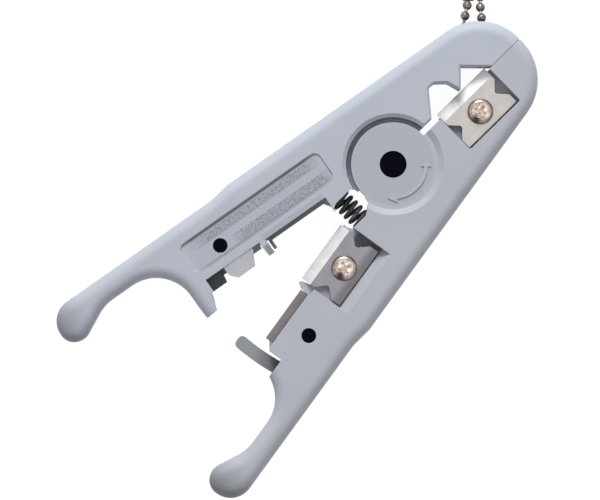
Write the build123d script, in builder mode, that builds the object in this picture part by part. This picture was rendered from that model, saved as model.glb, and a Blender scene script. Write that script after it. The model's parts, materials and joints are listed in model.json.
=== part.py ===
from build123d import *
import os
from math import cos, radians, sin, sqrt

# Cable stripper. The origin is on the pivot axis in the plane of the back face, +Z goes up
# through the thickness and +Y points along the closed jaws. Sizes are in millimetres.
# Handle features are measured along a line from the pivot down the handle ("along") and
# outwards from that line ("across").

# Body
thickness = 12.0
handle_tilt = 9.5
head_reach = 41.7
crown_radius = 22.0
crown_corner_radius = 13.0
shoulder_across = 18.27
grip_across = 17.43
shoulder_end = 34.5
shoulder_length = 5.1
step_radius = 4.0
edge_radius = 2.7
rim_radius = 0.15

# How far the cutting shapes reach past what they cut
cut_reach = 8.0
cut_margin = 2.0

# An upright wall's normal has less than this along Z, and a level is found to within it
wall_lean = 0.01

# Finger end of each handle
tail_inner_across = 11.75
finger_space_length = 17.9
knob_inner_across = 7.6
knob_drop = 8.4
knob_end_across = 9.2
tail_drop = 3.8
knob_outer_radius = 5.5
knob_inner_radius = 3.6
finger_radius = 10.0

# Jaws
jaw_parting = -0.2
jaw_gap = 0.3
jaw_relief_left = -1.2
jaw_relief_right = 0.2
vee_apex = (-5.2, 27.2)
tooth_tip_y = 23.45
tooth_tip_x = -1.4
round_notch_floor = -6.8
round_notch_low = 18.3
round_notch_high = 20.0
round_notch_shoulder = (-4.7, 22.3)
round_notch_mouth = 13.9
notch_corner_radius = 0.9
notch_chamfer = 0.45
tooth_land = 0.2

# Hub: two lapped discs with a washer between them
disc_radius = 9.8
hub_clearance_radius = 11.0
disc_recess = 1.0
recess_floor_radius = 10.5
recess_rim_radius = 11.9
washer_thickness = 0.4
washer_radius = 6.5
washer_gap = 0.05
lower_disc_top = thickness / 2 - washer_thickness / 2 - washer_gap
upper_disc_bottom = thickness / 2 + washer_thickness / 2 + washer_gap

# Pivot pin, clip and clip washer
pin_radius = 2.5
pin_head_radius = 3.1
pin_head_height = 2.0
pin_head_recess = 0.2
pin_clearance = 0.05
pin_chamfer = 0.3
clip_pocket_radius = 4.6
clip_pocket_depth = 3.3
clip_thickness = 0.6
clip_ring_width = 1.5
clip_groove_depth = 0.6
clip_washer_thickness = 0.5
clip_mouth_angle = 70.0

# Blades, their pockets and clamp screws
blade_length = 15.5
blade_width = 10.9
blade_thickness = 1.2
blade_edge_reach = 6.65
blade_bevel_width = 2.5
blade_edge_land = 0.15
blade_notch_depth = 2.4
blade_notch_width = 5.0
blade_notch_shift = 0.6
blade_floor = 8.0
blade_travel_out = 1.0
blade_travel_in = 0.2
blade_running_gap = 0.2
head_blade_at = (5.5, 23.2)
handle_blade_across = 5.03
handle_blade_along = 26.3
head_pocket_top_gap = 0.65
head_pocket_corner = 0.5
handle_pocket_top_gap = 1.1
handle_pocket_bottom_gap = 0.35
ramp_width = 2.2
screw_radius = 1.45
screw_head_radius = 3.0
screw_head_height = 2.0
screw_hole_radius = 1.6
screw_end_height = 0.5
cross_width = 0.8
cross_length = 3.6
cross_depth = 1.2
clamp_gap = 0.03
nut_flats = 5.5
nut_thickness = 2.4
nut_pocket_depth = 2.8
nut_fit = 0.1
nut_bore_radius = 1.5

# Anvil edge of the notched arm and the two stop teeth
anvil_across = 1.75
anvil_face_across = 2.7
ledge_drop = 0.4
tooth_tip_across = -0.95
tooth_width = 1.7
tooth_lift = 0.3
lower_tooth_across = -0.4
lower_tooth_width = 0.8
stop_tip_across = -1.65
stop_root_across = 2.3
stop_width = 1.6
stop_inset = 0.5
stop_back_slope = 0.7
stop_rise = 0.2
stop_room = 0.3
arm_floor_across = -0.9
arm_floor_end_gap = 1.2
arm_floor_step = 0.1
arm_floor_top = 0.6
arm_neck_top = 0.3
arm_neck_across = 3.0
anvil_top_across = 0.2
tooth_slope = 0.2

# Cutters
cutter_thickness = 2.4
shear_gap = 0.1
cutter_fit = 0.05
cutter_bottom_level = 7.6
upper_cutter_tip = -1.0
upper_cutter_offset = 1.9
upper_cutter_length = 8.0
upper_cutter_step = 0.5
upper_cutter_slope = 1.8
upper_cutter_end_slope = 1.5
upper_cutter_end_step = 2.2
lower_cutter_edge = -0.2
lower_cutter_gap = 0.2
lower_cutter_length = 14.0
cutter_root_across = 10.4
cutter_pin_across = 7.6
cutter_pin_drop = 7.6
cutter_pin_radius = 1.7
cutter_pin_fit = 0.03
cutter_pin_inset = 0.3
cutter_pin_chamfer = 0.2
notched_cutter_face = 2.9
notched_ledge_across = 1.5
notched_ledge_top = 4.9
blade_cutter_face = 1.85
blade_ledge_across = 0.8
block_lap = 2.7
block_overhang = 1.0
block_tip = -0.3
block_slope = 0.7
block_step = 0.3

# Foot and tongue
foot_gap = 2.9
foot_tip_across = -4.6
foot_neck_drop = 2.0
tongue_width = 3.1
tongue_tip_across = -5.35
tongue_root_across = 5.8
tongue_top = 5.9
foot_bottom = 6.3
tongue_side_gap = 0.4
tongue_tip_radius = 1.2
tongue_overlap = 1.0

# Spring between the handles
spring_y = -14.4
spring_left = -2.8
spring_right = 4.1
spring_seat_depth = 2.0
spring_seat_radius = 2.95
spring_outer_radius = 2.6
spring_wire = 0.9
spring_turns = 5.0
spring_end_gap = 0.25
spring_room_reach = 8.0
left_room_corner = (0.8, 0.6)
left_room_side = 2.5
left_room_floor = 4.0
right_room_corner = (1.7, 0.6)
right_room_side = 2.9
right_room_floor = 3.6
right_room_slope = 1.2

# Label recess
label_inner_across = 5.2
label_outer_across = 12.75
label_start = 12.9
label_foot_gap = 1.0
label_depth = 0.4
label_radius = 1.5

# Curved arrow on the hub
arrow_radius = 7.7
arrow_band = 0.8
arrow_height = 0.3
arrow_start_angle = -38.0
arrow_end_angle = 42.0
arrow_head_length = 2.2
arrow_head_width = 2.4

# Bead chain, its pin and the slot that it leaves the head by
bead_radius = 1.1
link_radius = 0.35
bead_count = 14
lanyard_pin_at = (-8.9, 34.9)
lanyard_pin_radius = 0.8
lanyard_pin_fit = 0.03
lanyard_pin_inset = 0.3
lanyard_pin_top = 9.0
lanyard_pin_end_gap = 0.1
chain_angle = 132.0
chain_slot_flare = 22.0
chain_slot_reach = 9.0
chain_level = 5.0
chain_gap = 0.3
chain_slack = 0.22
chain_floor = 0.25
chain_spread = 1.4
chain_reach = 15.5
chain_straight = 2.5
chain_fall = 5.5
chain_landing = 9.0
chain_widening = 0.3
chain_last_drop = 0.2
chain_end_round = 2.0
sleeve_radius = 1.4
sleeve_wall = 0.2
sleeve_overhang = 1.3

# Values worked out from the ones above
left_jaw_face = jaw_parting - jaw_gap / 2
right_jaw_face = jaw_parting + jaw_gap / 2
vee_end_y = vee_apex[1] + left_jaw_face - vee_apex[0]
blade_top = blade_floor + blade_thickness
blade_back_reach = blade_width - blade_edge_reach
pocket_back_reach = blade_back_reach + blade_travel_in + blade_running_gap
handle_blade_top = handle_blade_along - blade_length / 2
handle_blade_bottom = handle_blade_along + blade_length / 2
handle_pocket_top = handle_blade_top - handle_pocket_top_gap
handle_pocket_bottom = handle_blade_bottom + handle_pocket_bottom_gap
teeth_bottom = handle_pocket_bottom + tooth_width
lower_cutter_start = teeth_bottom + lower_cutter_gap
lower_cutter_end = lower_cutter_start + lower_cutter_length
upper_cutter_start = lower_cutter_start + upper_cutter_offset
upper_cutter_end = upper_cutter_start + upper_cutter_length
cutter_pin_along = lower_cutter_start + cutter_pin_drop
block_start = lower_cutter_end - block_lap
block_end = lower_cutter_end + block_overhang
tongue_inner_radius = lower_cutter_end + foot_gap
foot_radius = tongue_inner_radius + tongue_width
foot_neck_along = block_end + foot_neck_drop
tail_neck_along = foot_radius + finger_space_length
knob_widest_along = tail_neck_along + knob_drop
tail_end = knob_widest_along + tail_drop
grip_start = shoulder_end + shoulder_length
label_end = foot_neck_along - label_foot_gap
wide_reach = grip_across + cut_margin
head_pocket_low = head_blade_at[1] - blade_length / 2 - blade_running_gap
head_pocket_high = head_blade_at[1] + blade_length / 2 + head_pocket_top_gap
ledge_top = blade_floor - ledge_drop
upper_cutter_bottom = cutter_bottom_level + shear_gap
lower_cutter_bottom = cutter_bottom_level - cutter_thickness
disc_top = thickness - disc_recess
floor_end = handle_blade_bottom - arm_floor_end_gap
tongue_margin_radius = foot_radius + cut_margin
tongue_top_line = tongue_inner_radius - tongue_overlap
chain_axis = (cos(radians(chain_angle)), sin(radians(chain_angle)))
chain_bend = lanyard_pin_radius + bead_radius + chain_slack
chain_rest = sleeve_radius + chain_floor
chain_middle_level = (2 * chain_level + chain_rest) / 3

# A sketch plane down each handle: its Y axis points back up towards the pivot, so a point
# is (across, -along) on the blade arm and (-across, -along) on the notched arm.
right_handle = Plane(
    origin=(0, 0, 0), x_dir=(cos(radians(handle_tilt)), sin(radians(handle_tilt)), 0), z_dir=(0, 0, 1)
)
left_handle = Plane(
    origin=(0, 0, 0), x_dir=(cos(radians(handle_tilt)), -sin(radians(handle_tilt)), 0), z_dir=(0, 0, 1)
)


def on_handle(side, across, along):
    """A point of the row frame from its place on the left (-1) or right (+1) handle."""
    x = across * cos(radians(handle_tilt)) + along * sin(radians(handle_tilt))
    y = across * sin(radians(handle_tilt)) - along * cos(radians(handle_tilt))
    return (side * x, y)


def on_circle(side, radius, across):
    """The point at this distance from the pivot with this place across the handle."""
    return on_handle(side, across, sqrt(radius**2 - across**2))


def arm_blank(side):
    """The full-thickness outer form of one arm, with its rounded outer edges."""
    jaw_face = right_jaw_face if side > 0 else left_jaw_face
    crown_centre = head_reach - crown_radius
    crown_start = (jaw_face, crown_centre + sqrt(crown_radius**2 - jaw_face**2))
    # The crown arc ends where it meets the straight outer side of the head
    tilt = radians(handle_tilt)
    offset = shoulder_across - crown_centre * sin(tilt)
    reach = sqrt(crown_radius**2 - offset**2)
    crown_end = (
        side * (offset * cos(tilt) - reach * sin(tilt)),
        crown_centre + offset * sin(tilt) + reach * cos(tilt),
    )
    crown_top = (side * crown_radius * sin(tilt), crown_centre + crown_radius * cos(tilt))
    # The corner's arc has to meet the crown before the parting line
    largest_corner = (offset - jaw_gap - crown_radius * sin(tilt)) / (1 - sin(tilt))
    corner_radius = min(crown_corner_radius, largest_corner)
    finger_top = on_circle(side, foot_radius, tail_inner_across)
    foot_tip = on_circle(side, foot_radius, foot_tip_across)
    foot_middle = on_circle(side, foot_radius, (tail_inner_across + foot_tip_across) / 2)
    shoulder = on_handle(side, shoulder_across, shoulder_end)
    grip = on_handle(side, grip_across, grip_start)
    outer_corner = on_handle(side, grip_across, tail_end)
    inner_corner = on_handle(side, knob_end_across, tail_end)
    knob = on_handle(side, knob_inner_across, knob_widest_along)
    neck = on_handle(side, tail_inner_across, tail_neck_along)
    with BuildSketch() as outline:
        with BuildLine():
            ThreePointArc(crown_start, crown_top, crown_end)
            Polyline(crown_end, shoulder, grip, outer_corner, inner_corner, knob, neck, finger_top)
            ThreePointArc(finger_top, foot_middle, foot_tip)
            Polyline(foot_tip, (jaw_face, 0), crown_start)
        make_face()
        for corner, radius in (
            (crown_end, corner_radius),
            (shoulder, step_radius),
            (grip, step_radius),
            (outer_corner, knob_outer_radius),
            (inner_corner, knob_inner_radius),
            (knob, knob_inner_radius),
            (neck, finger_radius),
            (finger_top, finger_radius),
        ):
            fillet(outline.vertices().sort_by_distance(corner)[0], radius)
    with BuildPart() as blank:
        add(outline.sketch)
        extrude(amount=thickness)
        rims = blank.faces().filter_by(Axis.Z).edges()
        rounded = [
            edge
            for edge in rims
            if edge.geom_type != GeomType.LINE or side * (edge @ 0.5).X > abs(foot_tip[0])
        ]
        fillet(rounded, edge_radius)
    return blank.part


def upright_rims(arm, level):
    """The edges of an arm's flat faces at this level that stand on upright walls, but for the parting."""
    walls = [face for face in arm.faces() if abs(face.normal_at().Z) < wall_lean]
    wall_edges = [edge for wall in walls for edge in wall.edges()]
    flat = [face for face in arm.faces().filter_by(Plane.XY) if abs(face.center().Z - level) < wall_lean]
    rims = [edge for face in flat for edge in face.edges() if abs((edge @ 0.5).X - jaw_parting) > jaw_gap]
    return [edge for edge in rims if any(edge.is_same(other) for other in wall_edges)]


def hub_recess(face_level, floor_level):
    """The shallow recess round the hub, from an arm's face to the recess floor, as a cutter."""
    with BuildPart() as recess:
        with BuildSketch(Plane.XZ):
            with BuildLine():
                Polyline(
                    (0, face_level),
                    (recess_rim_radius, face_level),
                    (recess_floor_radius, floor_level),
                    (0, floor_level),
                    close=True,
                )
            make_face()
        revolve(axis=Axis.Z)
    return recess.part


def cross_recess(centre, top):
    """The two crossing slots of a screw's head, as a cutter."""
    with BuildPart() as cross:
        with BuildSketch(Plane(origin=(centre[0], centre[1], top))):
            SlotOverall(cross_length, cross_width)
            SlotOverall(cross_length, cross_width, rotation=90)
        extrude(amount=-cross_depth)
    return cross.part


def blade_plan():
    """A blade seen from above, about its screw, with the cutting edge towards -X."""
    middle = blade_width / 2 - blade_edge_reach
    notch_x = middle + blade_notch_shift
    slot_length = 2 * screw_hole_radius + blade_travel_out + blade_travel_in
    with BuildSketch() as plan:
        with Locations((middle, 0)):
            Rectangle(blade_width, blade_length)
        for end in (-1, 1):
            with BuildLine():
                Polyline(
                    (notch_x - blade_notch_width / 2, end * blade_length / 2),
                    (notch_x, end * (blade_length / 2 - blade_notch_depth)),
                    (notch_x + blade_notch_width / 2, end * blade_length / 2),
                    close=True,
                )
            make_face(mode=Mode.SUBTRACT)
        with Locations(((blade_travel_out - blade_travel_in) / 2, 0)):
            SlotOverall(slot_length, 2 * screw_hole_radius, mode=Mode.SUBTRACT)
    return plan.sketch


def bevel_cutter():
    """The wedge that grinding takes off a blade's cutting edge, standing on the blade's section."""
    with BuildSketch() as wedge:
        with BuildLine():
            Polyline(
                (-blade_edge_reach, blade_edge_land),
                (-blade_edge_reach + blade_bevel_width, blade_thickness),
                (-blade_edge_reach, blade_thickness),
                close=True,
            )
        make_face()
    return wedge.sketch


def blade(plane):
    """One blade, with the plane's origin on its screw axis at the blade's underside."""
    section = Plane(origin=plane.origin, x_dir=plane.x_dir, z_dir=-plane.y_dir)
    with BuildPart() as steel:
        with BuildSketch(plane):
            add(blade_plan())
        extrude(amount=blade_thickness)
        with BuildSketch(section):
            add(bevel_cutter())
        extrude(amount=blade_length, both=True, mode=Mode.SUBTRACT)
    return steel.part


def clamp_screw(centre):
    """A pan-head screw that stands on a blade."""
    head_bottom = blade_top + clamp_gap
    head_top = head_bottom + screw_head_height
    with BuildPart() as screw:
        with BuildSketch(Plane(origin=(centre[0], centre[1], head_bottom))):
            Circle(screw_head_radius)
        extrude(amount=screw_head_height)
        fillet(screw.faces().sort_by(Axis.Z)[-1].edges(), screw_head_height / 2)
        with BuildSketch(Plane(origin=(centre[0], centre[1], screw_end_height))):
            Circle(screw_radius)
        extrude(amount=head_bottom - screw_end_height)
        add(cross_recess(centre, head_top), mode=Mode.SUBTRACT)
    return screw.part


def clamp_nut(centre):
    """The hexagon nut that a clamp screw goes into, against the roof of its pocket."""
    with BuildPart() as nut:
        with BuildSketch(Plane(origin=(centre[0], centre[1], nut_pocket_depth - nut_thickness))):
            RegularPolygon(nut_flats / 2, 6, major_radius=False)
            Circle(nut_bore_radius, mode=Mode.SUBTRACT)
        extrude(amount=nut_thickness)
    return nut.part


def cutter_pin(centre):
    """A plain pin through one arm and the cutter in it."""
    with BuildPart() as pin:
        with BuildSketch(Plane(origin=(centre[0], centre[1], cutter_pin_inset))):
            Circle(cutter_pin_radius)
        extrude(amount=thickness - 2 * cutter_pin_inset)
        chamfer(pin.edges().filter_by(GeomType.CIRCLE), cutter_pin_chamfer)
    return pin.part


# Centres of the screws and of the cutter pins in the row frame
handle_blade_at = on_handle(1, handle_blade_across, handle_blade_along)
left_cutter_pin_at = on_handle(-1, cutter_pin_across, cutter_pin_along)
right_cutter_pin_at = on_handle(1, cutter_pin_across, cutter_pin_along)

# Arm with the cable notches
with BuildPart() as notched_arm:
    add(arm_blank(-1))
    # Everything inside the handle's inner edge is open, through all levels
    with BuildSketch(left_handle):
        with BuildLine():
            Polyline(
                (-foot_tip_across + cut_reach, -tongue_margin_radius),
                (-foot_tip_across, -tongue_margin_radius),
                (-foot_tip_across, -foot_neck_along),
                (-block_tip, -block_end - block_slope),
                (-block_tip, -block_start),
                (-notched_ledge_across, -block_start + block_step),
                (-notched_ledge_across, -teeth_bottom),
                (-tooth_tip_across, -teeth_bottom + tooth_slope),
                (-tooth_tip_across, -handle_pocket_bottom),
                (-lower_tooth_across, -handle_blade_bottom),
                (-lower_tooth_across, -handle_blade_bottom + lower_tooth_width),
                (-anvil_across, -handle_blade_bottom + lower_tooth_width),
                (-anvil_across, -handle_blade_top),
                (-anvil_top_across, -handle_pocket_top),
                (cut_reach, -handle_pocket_top),
                close=True,
            )
        make_face()
    extrude(amount=thickness, mode=Mode.SUBTRACT)
    # Room for the spring, from the hub down to the anvil edge
    with BuildSketch():
        with BuildLine():
            Polyline(
                (spring_left, -hub_clearance_radius),
                (spring_left, spring_y - left_room_side),
                (spring_left + spring_room_reach, spring_y - left_room_floor),
                (spring_left + spring_room_reach, -hub_clearance_radius + cut_margin),
                (spring_left + left_room_corner[0], -hub_clearance_radius + left_room_corner[1]),
                close=True,
            )
        make_face()
    extrude(amount=thickness, mode=Mode.SUBTRACT)
    # Jaw face below the notches, and the two notches
    with BuildSketch() as jaw_opening:
        with BuildLine():
            Polyline(
                (cut_margin, 0),
                (jaw_relief_left, 0),
                (jaw_relief_left, round_notch_mouth - tooth_land),
                (tooth_tip_x, round_notch_mouth),
                (round_notch_floor, round_notch_low),
                (round_notch_floor, round_notch_high),
                round_notch_shoulder,
                (tooth_tip_x, tooth_tip_y - tooth_land),
                (tooth_tip_x, tooth_tip_y),
                vee_apex,
                (left_jaw_face, vee_end_y),
                (cut_margin, vee_end_y),
                close=True,
            )
        make_face()
        for corner in (
            (round_notch_floor, round_notch_low),
            (round_notch_floor, round_notch_high),
            round_notch_shoulder,
        ):
            fillet(jaw_opening.vertices().sort_by_distance(corner)[0], notch_corner_radius)
    extrude(amount=thickness, mode=Mode.SUBTRACT)
    with BuildSketch(Plane.XY.offset(thickness)):
        add(jaw_opening.sketch)
        offset(amount=notch_chamfer, kind=Kind.INTERSECTION)
    extrude(amount=-notch_chamfer, taper=45, mode=Mode.SUBTRACT)
    # Upper level cut back behind the anvil edge, where the handle blade passes
    with BuildSketch(left_handle.offset(ledge_top)):
        with BuildLine():
            Polyline(
                (cut_reach, -handle_pocket_top),
                (-anvil_face_across, -handle_pocket_top),
                (-anvil_face_across, -handle_pocket_bottom),
                (cut_reach, -handle_pocket_bottom),
                close=True,
            )
        make_face()
    extrude(amount=thickness, mode=Mode.SUBTRACT)
    # Under the upper tooth there is room for the blade arm's stop
    with BuildSketch(left_handle):
        with BuildLine():
            Polyline(
                (cut_reach, -handle_blade_bottom),
                (-stop_root_across, -handle_blade_bottom),
                (-stop_root_across, -teeth_bottom - stop_room),
                (cut_reach, -teeth_bottom - stop_room),
                close=True,
            )
        make_face()
    extrude(amount=blade_floor + tooth_lift, mode=Mode.SUBTRACT)
    # Above the deep ledge the face is cut back beside the upper cutter
    with BuildSketch(left_handle.offset(notched_ledge_top)):
        with BuildLine():
            Polyline(
                (cut_reach, -teeth_bottom),
                (-notched_cutter_face, -teeth_bottom),
                (-notched_cutter_face, -block_end),
                (cut_reach, -block_end),
                close=True,
            )
        make_face()
    extrude(amount=thickness, mode=Mode.SUBTRACT)
    # Slot for the upper cutter
    with BuildSketch(left_handle.offset(upper_cutter_bottom - cutter_fit)):
        with Locations((-cutter_root_across / 2, -upper_cutter_start - upper_cutter_length / 2)):
            Rectangle(cutter_root_across + 2 * cutter_fit, upper_cutter_length + 2 * cutter_fit)
    extrude(amount=cutter_thickness + 2 * cutter_fit, mode=Mode.SUBTRACT)
    # Under the foot, the tongue of the other arm slides past
    with BuildSketch(left_handle):
        Circle(tongue_margin_radius)
        Circle(tongue_inner_radius - tongue_side_gap, mode=Mode.SUBTRACT)
        with Locations((-tongue_root_across + wide_reach / 2, -foot_radius)):
            Rectangle(wide_reach, wide_reach, mode=Mode.INTERSECT)
    extrude(amount=foot_bottom, mode=Mode.SUBTRACT)
    # Slot in the jaw and its tooth for the edge of the head blade
    with BuildSketch(Plane.XY.offset(blade_floor - blade_running_gap)):
        slot_left = head_blade_at[0] - blade_edge_reach - blade_travel_out - blade_running_gap
        with Locations(((slot_left + cut_margin) / 2, head_blade_at[1])):
            Rectangle(cut_margin - slot_left, blade_length + 2 * blade_running_gap)
    extrude(amount=blade_thickness + 2 * blade_running_gap, mode=Mode.SUBTRACT)
    # Lower hub disc, with room above it for the upper one
    with BuildSketch(Plane.XY.offset(lower_disc_top)):
        Circle(hub_clearance_radius)
    extrude(amount=thickness, mode=Mode.SUBTRACT)
    with BuildSketch():
        Circle(disc_radius)
    extrude(amount=lower_disc_top)
    add(hub_recess(0, disc_recess), mode=Mode.SUBTRACT)
    add(hub_recess(thickness, disc_top), mode=Mode.SUBTRACT)
    with BuildSketch():
        Circle(pin_radius + pin_clearance)
    extrude(amount=thickness, mode=Mode.SUBTRACT)
    with BuildSketch():
        Circle(clip_pocket_radius)
    extrude(amount=clip_pocket_depth, mode=Mode.SUBTRACT)
    # Spring seat
    with BuildSketch(Plane(origin=(spring_left, spring_y, thickness / 2), z_dir=(-1, 0, 0))):
        Circle(spring_seat_radius)
    extrude(amount=spring_seat_depth, mode=Mode.SUBTRACT)
    # Holes for the cutter pin and the lanyard pin
    with BuildSketch(Plane(origin=(*left_cutter_pin_at, 0))):
        Circle(cutter_pin_radius + cutter_pin_fit)
    extrude(amount=thickness, mode=Mode.SUBTRACT)
    with BuildSketch(Plane(origin=(*lanyard_pin_at, 0))):
        Circle(lanyard_pin_radius + lanyard_pin_fit)
    extrude(amount=lanyard_pin_top, mode=Mode.SUBTRACT)
    # Fan-shaped slot that the chain leaves the head by
    slot_height = 2 * (bead_radius + chain_gap)
    with BuildSketch(Plane(origin=(*lanyard_pin_at, chain_level - slot_height / 2))):
        slot_radius = chain_bend + bead_radius + chain_gap
        Circle(slot_radius)
        with BuildLine():
            flare = [radians(chain_angle + turn) for turn in (-chain_slot_flare, chain_slot_flare)]
            sides = [radians(chain_angle + turn) for turn in (-90, 90)]
            Polyline(
                (slot_radius * cos(sides[0]), slot_radius * sin(sides[0])),
                (
                    slot_radius * cos(sides[0]) + chain_slot_reach * cos(flare[0]),
                    slot_radius * sin(sides[0]) + chain_slot_reach * sin(flare[0]),
                ),
                (
                    slot_radius * cos(sides[1]) + chain_slot_reach * cos(flare[1]),
                    slot_radius * sin(sides[1]) + chain_slot_reach * sin(flare[1]),
                ),
                (slot_radius * cos(sides[1]), slot_radius * sin(sides[1])),
                close=True,
            )
        make_face()
    extrude(amount=slot_height, mode=Mode.SUBTRACT)
    # Label recess
    with BuildSketch(left_handle.offset(thickness - label_depth)):
        with Locations((-(label_inner_across + label_outer_across) / 2, -(label_start + label_end) / 2)):
            RectangleRounded(label_outer_across - label_inner_across, label_end - label_start, label_radius)
    extrude(amount=thickness, mode=Mode.SUBTRACT)
    fillet(upright_rims(notched_arm, thickness) + upright_rims(notched_arm, 0), rim_radius)

# Arm with the blades
with BuildPart() as blade_arm:
    add(arm_blank(1))
    # Everything inside the handle's inner edge is open, through all levels
    with BuildSketch(right_handle):
        with BuildLine():
            Polyline(
                (-wide_reach, -foot_radius - 2 * cut_margin),
                (tongue_root_across, -foot_radius - 2 * cut_margin),
                (tongue_root_across, -tongue_top_line),
                (stop_root_across, -tongue_top_line),
                (blade_ledge_across, -lower_cutter_end - cutter_fit),
                (blade_ledge_across, -lower_cutter_start + cutter_fit),
                (-stop_inset, -handle_pocket_bottom - stop_width),
                (stop_tip_across, -handle_pocket_bottom - stop_width / 2),
                (-stop_inset - stop_back_slope, -handle_pocket_bottom - stop_rise),
                (blade_ledge_across, -handle_blade_bottom - arm_floor_step),
                (blade_ledge_across, -floor_end),
                (arm_floor_across, -floor_end),
                (arm_floor_across, -handle_pocket_top - arm_floor_top),
                (0, -handle_pocket_top - arm_floor_top),
                (spring_right - arm_neck_across, -handle_pocket_top + arm_neck_top),
                (-wide_reach, -handle_pocket_top + arm_neck_top),
                close=True,
            )
        make_face()
    extrude(amount=thickness, mode=Mode.SUBTRACT)
    # Room for the spring, from the hub down to the blade pocket
    with BuildSketch():
        with BuildLine():
            Polyline(
                (spring_right - spring_room_reach, -hub_clearance_radius + cut_margin),
                (spring_right - right_room_corner[0], -hub_clearance_radius + right_room_corner[1]),
                (spring_right, -hub_clearance_radius - cut_margin),
                (spring_right, spring_y - right_room_side),
                (spring_right - right_room_slope, spring_y - right_room_floor),
                (spring_right - spring_room_reach, spring_y - right_room_floor),
                close=True,
            )
        make_face()
    extrude(amount=thickness, mode=Mode.SUBTRACT)
    # Jaw face below the head blade
    with BuildSketch():
        with BuildLine():
            Polyline(
                (-cut_margin, 0),
                (jaw_relief_right, 0),
                (jaw_relief_right, head_pocket_low),
                (-cut_margin, head_pocket_low),
                close=True,
            )
        make_face()
    extrude(amount=thickness, mode=Mode.SUBTRACT)
    # Pocket for the head blade
    with BuildSketch(Plane.XY.offset(blade_floor)):
        pocket_right = head_blade_at[0] + pocket_back_reach
        pocket_middle = (head_pocket_low + head_pocket_high) / 2
        with Locations(((pocket_right - cut_margin) / 2, pocket_middle)):
            pocket = Rectangle(pocket_right + cut_margin, head_pocket_high - head_pocket_low)
        fillet(pocket.vertices().group_by(Axis.X)[-1], head_pocket_corner)
    extrude(amount=thickness, mode=Mode.SUBTRACT)
    # Pocket for the handle blade, with a sloped wall behind it
    pocket_back = handle_blade_across + pocket_back_reach
    section = Plane(
        origin=(*on_handle(1, 0, handle_pocket_bottom), 0), x_dir=right_handle.x_dir, z_dir=right_handle.y_dir
    )
    with BuildSketch(section):
        with BuildLine():
            Polyline(
                (-wide_reach, -thickness - cut_margin),
                (-wide_reach, -blade_floor),
                (pocket_back, -blade_floor),
                (pocket_back, -blade_top - blade_running_gap),
                (pocket_back + ramp_width, -thickness),
                (pocket_back + ramp_width, -thickness - cut_margin),
                close=True,
            )
        make_face()
    extrude(amount=handle_pocket_bottom - handle_pocket_top, mode=Mode.SUBTRACT)
    # Upper level cut back beside the stop and above the lower cutter
    with BuildSketch(right_handle.offset(blade_floor)):
        with BuildLine():
            Polyline(
                (-wide_reach, -handle_pocket_bottom + cut_margin),
                (stop_root_across, -handle_pocket_bottom + cut_margin),
                (stop_root_across, -teeth_bottom - tooth_slope),
                (-wide_reach, -teeth_bottom - tooth_slope),
                close=True,
            )
        make_face()
    extrude(amount=thickness, mode=Mode.SUBTRACT)
    with BuildSketch(right_handle.offset(cutter_bottom_level)):
        with BuildLine():
            Polyline(
                (-wide_reach, -lower_cutter_start + cutter_fit),
                (blade_cutter_face, -lower_cutter_start + cutter_fit),
                (blade_cutter_face, -tongue_top_line),
                (-wide_reach, -tongue_top_line),
                close=True,
            )
        make_face()
    extrude(amount=thickness, mode=Mode.SUBTRACT)
    # Slot for the lower cutter
    with BuildSketch(right_handle.offset(lower_cutter_bottom - cutter_fit)):
        with Locations((cutter_root_across / 2, -(lower_cutter_start + lower_cutter_end) / 2)):
            Rectangle(
                cutter_root_across + 2 * cutter_fit, lower_cutter_end - lower_cutter_start + 2 * cutter_fit
            )
    extrude(amount=cutter_thickness + 2 * cutter_fit, mode=Mode.SUBTRACT)
    # Upper hub disc, with room below it for the lower one
    with BuildSketch():
        Circle(hub_clearance_radius)
    extrude(amount=upper_disc_bottom, mode=Mode.SUBTRACT)
    with BuildSketch(Plane.XY.offset(upper_disc_bottom)):
        Circle(disc_radius)
    extrude(amount=thickness - upper_disc_bottom)
    add(hub_recess(0, disc_recess), mode=Mode.SUBTRACT)
    add(hub_recess(thickness, disc_top), mode=Mode.SUBTRACT)
    # Curved arrow, raised from the disc
    with BuildSketch(Plane.XY.offset(disc_top)):
        with BuildLine() as arrow_line:
            CenterArc((0, 0), arrow_radius, arrow_start_angle, arrow_end_angle - arrow_start_angle)
        trace(line_width=arrow_band)
        for angle, turn in ((arrow_start_angle, -1), (arrow_end_angle, 1)):
            with Locations(
                Location(
                    (arrow_radius * cos(radians(angle)), arrow_radius * sin(radians(angle)), 0),
                    (0, 0, angle),
                )
            ):
                Polygon(
                    (-arrow_head_width / 2, 0),
                    (arrow_head_width / 2, 0),
                    (0, turn * arrow_head_length),
                    align=None,
                )
    extrude(amount=arrow_height)
    with BuildSketch():
        Circle(pin_radius + pin_clearance)
    extrude(amount=thickness, mode=Mode.SUBTRACT)
    with BuildSketch(Plane.XY.offset(disc_top - pin_head_recess - pin_head_height)):
        Circle(pin_head_radius + pin_clearance)
    extrude(amount=thickness, mode=Mode.SUBTRACT)
    # Spring seat
    with BuildSketch(Plane(origin=(spring_right, spring_y, thickness / 2), z_dir=(1, 0, 0))):
        Circle(spring_seat_radius)
    extrude(amount=spring_seat_depth, mode=Mode.SUBTRACT)
    # Holes for the clamp screws, their nuts and the cutter pin
    for centre in (head_blade_at, handle_blade_at):
        with BuildSketch(Plane(origin=(*centre, 0))):
            Circle(screw_hole_radius)
        extrude(amount=thickness, mode=Mode.SUBTRACT)
        with BuildSketch(Plane(origin=(*centre, 0))):
            RegularPolygon(nut_flats / 2 + nut_fit, 6, major_radius=False)
        extrude(amount=nut_pocket_depth, mode=Mode.SUBTRACT)
    with BuildSketch(Plane(origin=(*right_cutter_pin_at, 0))):
        Circle(cutter_pin_radius + cutter_pin_fit)
    extrude(amount=thickness, mode=Mode.SUBTRACT)
    fillet(upright_rims(blade_arm, thickness) + upright_rims(blade_arm, 0), rim_radius)
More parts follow.
